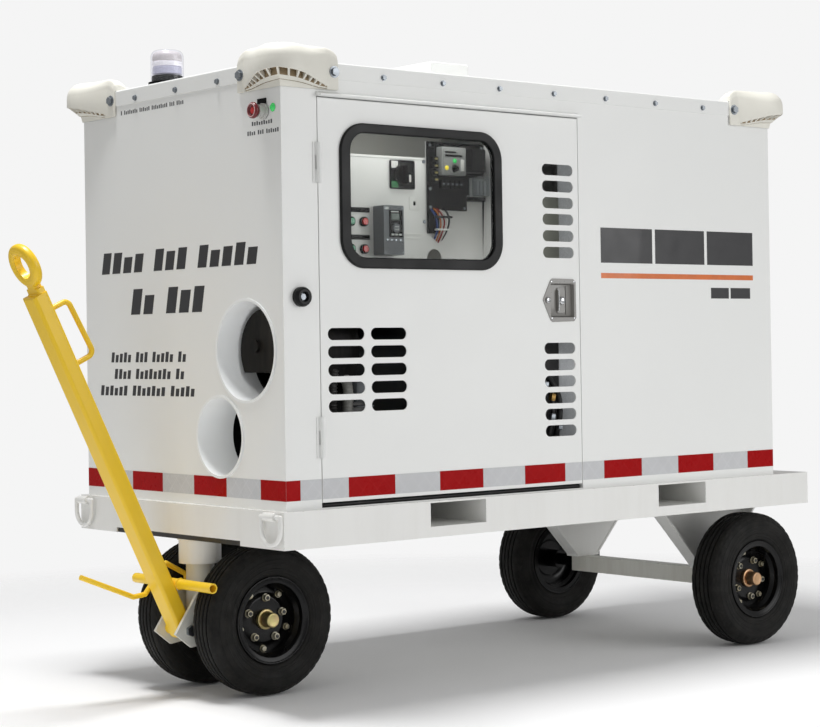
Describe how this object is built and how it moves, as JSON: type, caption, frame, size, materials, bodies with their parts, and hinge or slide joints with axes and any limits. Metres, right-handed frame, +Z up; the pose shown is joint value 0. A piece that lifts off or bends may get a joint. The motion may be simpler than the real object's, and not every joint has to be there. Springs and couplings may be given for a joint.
{
  "type": "towed generator cart",
  "caption": "Four-wheel towed generator cart: white sheet-metal enclosure with glazed service door, air ducts, roof bumpers, steered front axle and folding yellow tow bar.",
  "frame": {"origin": "on the ground, under the plan centre of the sheet-metal enclosure", "axes": "-X towards the tow bar, -Y towards the service door, +Z up"},
  "size_m": [2.471, 1.0644, 1.7406],
  "materials": {
    "white_paint": "semi-gloss",
    "yellow_paint": "semi-gloss",
    "cream_plastic": "matte",
    "tyre_rubber": "matte",
    "black_paint": "gloss",
    "black_rubber": "matte",
    "zinc": "satin",
    "stainless": "brushed",
    "clear_lens": "clear",
    "window_glass": "clear",
    "beacon_black": "matte",
    "red_plastic": "gloss",
    "green_plastic": "gloss",
    "light_grey": "satin",
    "grey_plastic": "matte",
    "black_plastic": "satin",
    "engine_paint": "satin",
    "cast_iron": "rough",
    "alloy": "satin",
    "exhaust_steel": "dull",
    "tank_plastic": "matte"
  },
  "bodies": {
    "root": {"chassis_frame": "white_paint", "rear_axle": "white_paint", "front_panel": "white_paint", "duct_spigots": "white_paint", "door_side_panel": "white_paint", "far_side_panel": "white_paint", "rear_panel": "white_paint", "roof_cap": "white_paint", "roof_box": "white_paint", "corner_bumpers": "cream_plastic", "bumper_bolts": "zinc", "roof_screws": "zinc", "beacon_base": "beacon_black", "beacon_lens": "clear_lens", "estop_station": "zinc", "hinge_post_leaves": "white_paint", "door_stop": "black_rubber", "control_panel": "light_grey", "disconnect_plate": "black_plastic", "vfd_drive": "grey_plastic", "engine_controller": "grey_plastic", "generator_housing": "engine_paint", "engine_block": "cast_iron", "radiator": "alloy", "fuel_tank": "tank_plastic", "battery": "black_plastic", "blower_housing": "black_paint", "exhaust_pipe": "exhaust_steel"},
    "yoke": {"caster_yoke": "white_paint", "towbar_pin": "zinc"},
    "drawbar": {"towbar": "yellow_paint", "tow_eye": "yellow_paint"},
    "catch_lever": {"lock_lever": "yellow_paint"},
    "door": {"door_panel": "white_paint", "window_gasket": "black_rubber", "window_glass": "window_glass", "latch_pan": "stainless", "hinge_door_leaves": "white_paint"},
    "latch": {"latch_handle": "stainless"},
    "estop": {"estop_button": "red_plastic"},
    "disconnect": {"disconnect_handle": "black_plastic"},
    "start_a": {"start_button_a": "green_plastic"},
    "stop_a": {"stop_button_a": "red_plastic"},
    "start_b": {"start_button_b": "green_plastic"},
    "stop_b": {"stop_button_b": "red_plastic"},
    "rotor": {"crankshaft": "cast_iron", "cooling_fan": "black_plastic"},
    "blower": {"blower_wheel": "alloy"},
    "wheel_front_door": {"tyre_front_door": "tyre_rubber", "wheel_front_door": "black_paint"},
    "wheel_front_far": {"tyre_front_far": "tyre_rubber", "wheel_front_far": "black_paint"},
    "wheel_rear_door": {"tyre_rear_door": "tyre_rubber", "wheel_rear_door": "black_paint"},
    "wheel_rear_far": {"tyre_rear_far": "tyre_rubber", "wheel_rear_far": "black_paint"},
    "ring_front_door": {"lashing_ring_front_door": "white_paint"},
    "ring_front_far": {"lashing_ring_front_far": "white_paint"}
  },
  "joints": [
    {"name": "steer", "type": "hinge", "parent": "root", "child": "yoke", "pos_m": [-0.861, 0, 0.345], "axis": [0, 0, 1], "range_deg": [-40, 40]},
    {"name": "drawbar_fold", "type": "hinge", "parent": "yoke", "child": "drawbar", "pos_m": [-0.93, 0, 0.178], "axis": [0, -1, 0], "range_deg": [0, 70]},
    {"name": "catch_lift", "type": "hinge", "parent": "drawbar", "child": "catch_lever", "pos_m": [-0.975, 0.05, 0.312], "axis": [0, -1, 0], "range_deg": [0, 12]},
    {"name": "wheel_front_door_spin", "type": "hinge", "parent": "yoke", "child": "wheel_front_door", "pos_m": [-0.753, -0.136, 0.2], "axis": [0, 1, 0], "continuous": true},
    {"name": "wheel_front_far_spin", "type": "hinge", "parent": "yoke", "child": "wheel_front_far", "pos_m": [-0.753, 0.136, 0.2], "axis": [0, 1, 0], "continuous": true},
    {"name": "wheel_rear_door_spin", "type": "hinge", "parent": "root", "child": "wheel_rear_door", "pos_m": [0.835, -0.434, 0.2], "axis": [0, 1, 0], "continuous": true},
    {"name": "wheel_rear_far_spin", "type": "hinge", "parent": "root", "child": "wheel_rear_far", "pos_m": [0.835, 0.434, 0.2], "axis": [0, 1, 0], "continuous": true},
    {"name": "door_swing", "type": "hinge", "parent": "root", "child": "door", "pos_m": [-0.807, -0.4856, 1.041], "axis": [0, 0, -1], "range_deg": [0, 165]},
    {"name": "latch_turn", "type": "hinge", "parent": "door", "child": "latch", "pos_m": [0.0375, -0.47, 1.042], "axis": [0, 1, 0], "range_deg": [0, 90]},
    {"name": "estop_press", "type": "slide", "parent": "root", "child": "estop", "axis": [1, 0, 0], "range_m": [0, 0.005]},
    {"name": "disconnect_turn", "type": "hinge", "parent": "root", "child": "disconnect", "pos_m": [-0.411, -0.34, 1.385], "axis": [0, 1, 0], "range_deg": [0, 90]},
    {"name": "start_a_press", "type": "slide", "parent": "root", "child": "start_a", "axis": [0, 1, 0], "range_m": [0, 0.003]},
    {"name": "stop_a_press", "type": "slide", "parent": "root", "child": "stop_a", "axis": [0, 1, 0], "range_m": [0, 0.003]},
    {"name": "start_b_press", "type": "slide", "parent": "root", "child": "start_b", "axis": [0, 1, 0], "range_m": [0, 0.003]},
    {"name": "stop_b_press", "type": "slide", "parent": "root", "child": "stop_b", "axis": [0, 1, 0], "range_m": [0, 0.003]},
    {"name": "rotor_spin", "type": "hinge", "parent": "root", "child": "rotor", "pos_m": [0, 0, 0.8], "axis": [1, 0, 0], "continuous": true},
    {"name": "blower_spin", "type": "hinge", "parent": "root", "child": "blower", "pos_m": [-0.8, -0.312, 0.915], "axis": [1, 0, 0], "continuous": true},
    {"name": "ring_front_door_lift", "type": "hinge", "parent": "root", "child": "ring_front_door", "pos_m": [-0.95, -0.453, 0.501], "axis": [0, 1, 0], "range_deg": [0, 165]},
    {"name": "ring_front_far_lift", "type": "hinge", "parent": "root", "child": "ring_front_far", "pos_m": [-0.95, 0.453, 0.501], "axis": [0, 1, 0], "range_deg": [0, 165]}
  ]
}
